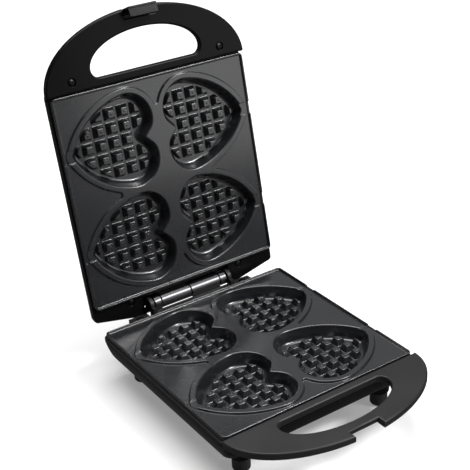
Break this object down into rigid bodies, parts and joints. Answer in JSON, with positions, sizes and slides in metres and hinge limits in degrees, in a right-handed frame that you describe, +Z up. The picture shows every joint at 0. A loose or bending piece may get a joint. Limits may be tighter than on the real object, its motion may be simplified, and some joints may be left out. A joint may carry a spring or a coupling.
{
  "type": "waffle stick maker",
  "caption": "Hinged countertop iron that bakes heart-shaped waffles on sticks, with pegged moulds in both cast plates, D-shaped handles, a latch and rubber feet, standing open.",
  "frame": {"origin": "on the table, under the middle of the open iron", "axes": "+X to the right as seen from the handles, +Y from the handles to the hinge, +Z up"},
  "size_m": [0.1976, 0.324, 0.3169],
  "materials": {
    "handle_grey": "dark grey heat-proof plastic, satin",
    "housing_black": "black heat-proof plastic, satin",
    "non_stick": "die-cast aluminium with a dark grey non-stick coat, satin",
    "hinge_steel": "dark plated steel, satin",
    "fastener_steel": "zinc plated",
    "heater_steel": "bare bright steel",
    "rubber": "black rubber, matte",
    "ceramic": "off-white heat-proof moulding",
    "red_lens": "clear red, polished",
    "green_lens": "clear green, polished",
    "lamp_glass": "clear glass"
  },
  "bodies": {
    "base": {"base_frame": "handle_grey", "base_cover": "housing_black", "lower_plate": "non_stick", "lower_element": "heater_steel", "lower_reflector": "heater_steel", "lower_thermostat": "ceramic", "thermal_fuse": "ceramic", "terminal_block": "ceramic", "cord_bush": "rubber", "hinge_leaf_base": "hinge_steel", "hinge_pin": "fastener_steel", "foot_front_left": "rubber", "foot_front_right": "rubber", "foot_rear_left": "rubber", "foot_rear_right": "rubber", "foot_screw_front_left": "fastener_steel", "foot_screw_front_right": "fastener_steel", "foot_screw_rear_left": "fastener_steel", "foot_screw_rear_right": "fastener_steel", "lower_plate_screw_front_left": "fastener_steel", "lower_plate_screw_front_right": "fastener_steel", "lower_plate_screw_rear_left": "fastener_steel", "lower_plate_screw_rear_right": "fastener_steel", "base_rear_screw_left": "fastener_steel", "base_rear_screw_right": "fastener_steel"},
    "lid": {"lid_frame": "housing_black", "lid_cover": "housing_black", "upper_plate": "non_stick", "upper_element": "heater_steel", "upper_reflector": "heater_steel", "upper_thermostat": "ceramic", "power_lens": "red_lens", "ready_lens": "green_lens", "power_lamp": "lamp_glass", "ready_lamp": "lamp_glass", "latch_pin": "fastener_steel", "upper_plate_screw_front_left": "fastener_steel", "upper_plate_screw_front_right": "fastener_steel", "upper_plate_screw_rear_left": "fastener_steel", "upper_plate_screw_rear_right": "fastener_steel", "lid_rear_screw_left": "fastener_steel", "lid_rear_screw_right": "fastener_steel", "lid_handle_screw_left": "fastener_steel", "lid_handle_screw_right": "fastener_steel", "hinge_leaf_lid": "hinge_steel"},
    "latch": {"latch_clip": "housing_black"}
  },
  "joints": [
    {"name": "lid_hinge", "type": "hinge", "parent": "base", "child": "lid", "pos_m": [0, 0.10133, 0.054], "axis": [1, 0, 0], "range_deg": [0, 100.68]},
    {"name": "latch_pivot", "type": "hinge", "parent": "lid", "child": "latch", "pos_m": [0, 0.15104, 0.30895], "axis": [1, 0, 0], "range_deg": [0, 12]}
  ]
}
